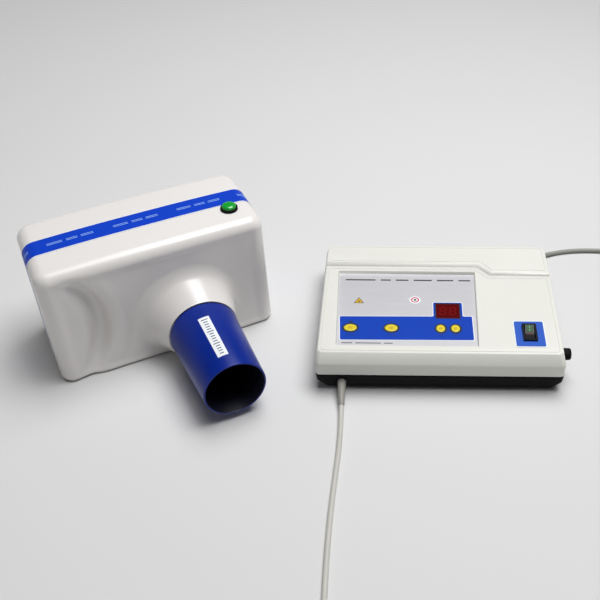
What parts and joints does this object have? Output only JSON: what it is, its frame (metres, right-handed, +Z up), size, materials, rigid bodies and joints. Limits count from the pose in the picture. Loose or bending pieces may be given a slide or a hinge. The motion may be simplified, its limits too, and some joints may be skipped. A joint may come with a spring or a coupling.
{
  "type": "intraoral x-ray unit",
  "caption": "Hand-held box-shaped dental x-ray tube head with a round aiming cone, beside its low table-top control box, with both leads.",
  "frame": {"origin": "centre of the tube head's flat underside, on the table", "axes": "+X along the row of the two housings, from the tube head to the control box; +Y to the back of the control box; +Z up"},
  "size_m": [0.7706, 0.6318, 0.1435],
  "materials": {
    "ivory_plastic": "satin moulded plastic",
    "warm_white": "smooth moulded plastic",
    "black_plastic": "satin",
    "dark_plastic": "smooth",
    "rubber": "matt",
    "silver_film": "fine metallic film",
    "red_filter": "dark red filter",
    "key_yellow": "satin",
    "label_blue": "printed film",
    "band_blue": "printed film",
    "cone_blue": "glossy",
    "button_green": "satin",
    "label_white": "paper",
    "cord_grey": "satin cord jacket",
    "circuit_board": "solder mask",
    "steel": "plated",
    "iron": "laminated",
    "aluminium": "plain",
    "lead": "dull",
    "copper": "bare and enamelled copper",
    "connector_metal": "nickel plated",
    "glass": "clear"
  },
  "bodies": {
    "control_box": {"base_pan": "black_plastic", "top_cover": "ivory_plastic", "panel_overlay": "silver_film", "display_window": "red_filter", "display_module": "dark_plastic", "control_board": "circuit_board", "power_board": "circuit_board", "transformer_core": "iron", "transformer_coil": "copper", "switch_label": "label_blue", "rocker_housing": "dark_plastic", "fuse_holder": "dark_plastic", "foot_front_left": "rubber", "foot_front_right": "rubber", "foot_back_left": "rubber", "foot_back_right": "rubber", "base_screw_1": "steel", "base_screw_2": "steel", "base_screw_3": "steel", "base_screw_4": "steel", "tube_lead_relief": "cord_grey", "mains_relief": "cord_grey", "tube_lead": "cord_grey", "mains_lead": "cord_grey", "tube_lead_coil": "cord_grey", "mains_lead_coil": "cord_grey", "tube_lead_plug": "connector_metal", "mains_plug": "black_plastic"},
    "tube_head": {"rear_shell": "warm_white", "front_shell": "warm_white", "trim_band": "band_blue", "aiming_cone": "cone_blue", "cone_label": "label_white", "button_bezel": "black_plastic", "button_spring": "steel", "button_switch": "dark_plastic", "shielded_tank": "aluminium", "tank_lid": "aluminium", "expansion_diaphragm": "rubber", "collimator": "lead", "beam_filter": "aluminium", "tube_envelope": "glass", "anode": "copper", "cathode": "steel", "high_voltage_core": "iron", "high_voltage_coil": "copper", "multiplier_board": "circuit_board", "lead_inlet": "connector_metal", "shell_screw_1": "steel", "shell_screw_2": "steel", "shell_screw_3": "steel", "shell_screw_4": "steel"},
    "power_rocker": {"power_rocker": "dark_plastic"},
    "fuse_carrier": {"fuse": "glass"},
    "fuse_cap": {"fuse_cap": "black_plastic"},
    "exposure_button": {"exposure_button": "button_green"},
    "key_mode_left": {"key_mode_left": "key_yellow"},
    "key_mode_right": {"key_mode_right": "key_yellow"},
    "key_time_down": {"key_time_down": "key_yellow"},
    "key_time_up": {"key_time_up": "key_yellow"}
  },
  "joints": [
    {"name": "head_lift", "type": "slide", "parent": "control_box", "child": "tube_head", "axis": [0, 0, 1], "range_m": [0, 0.25]},
    {"name": "exposure_press", "type": "slide", "parent": "tube_head", "child": "exposure_button", "axis": [0, 0, -1], "range_m": [0, 0.0018], "stiffness_N_per_m": 1000, "deforming": ["button_spring"]},
    {"name": "rocker_tilt", "type": "hinge", "parent": "control_box", "child": "power_rocker", "pos_m": [0.4007, -0.0681, 0.0462], "axis": [-1, 0, 0], "range_deg": [0, 24]},
    {"name": "fuse_pull", "type": "slide", "parent": "control_box", "child": "fuse_carrier", "axis": [1, 0, 0], "range_m": [0, 0.032]},
    {"name": "fuse_cap_turn", "type": "hinge", "parent": "fuse_carrier", "child": "fuse_cap", "pos_m": [0.4335, -0.0783, 0.03], "axis": [1, 0, 0], "range_deg": [0, 90]},
    {"name": "key_mode_left_press", "type": "slide", "parent": "control_box", "child": "key_mode_left", "axis": [0, 0, -1], "range_m": [0, 0.0005], "stiffness_N_per_m": 3000},
    {"name": "key_mode_right_press", "type": "slide", "parent": "control_box", "child": "key_mode_right", "axis": [0, 0, -1], "range_m": [0, 0.0005], "stiffness_N_per_m": 3000},
    {"name": "key_time_down_press", "type": "slide", "parent": "control_box", "child": "key_time_down", "axis": [0, 0, -1], "range_m": [0, 0.0005], "stiffness_N_per_m": 3000},
    {"name": "key_time_up_press", "type": "slide", "parent": "control_box", "child": "key_time_up", "axis": [0, 0, -1], "range_m": [0, 0.0005], "stiffness_N_per_m": 3000}
  ]
}
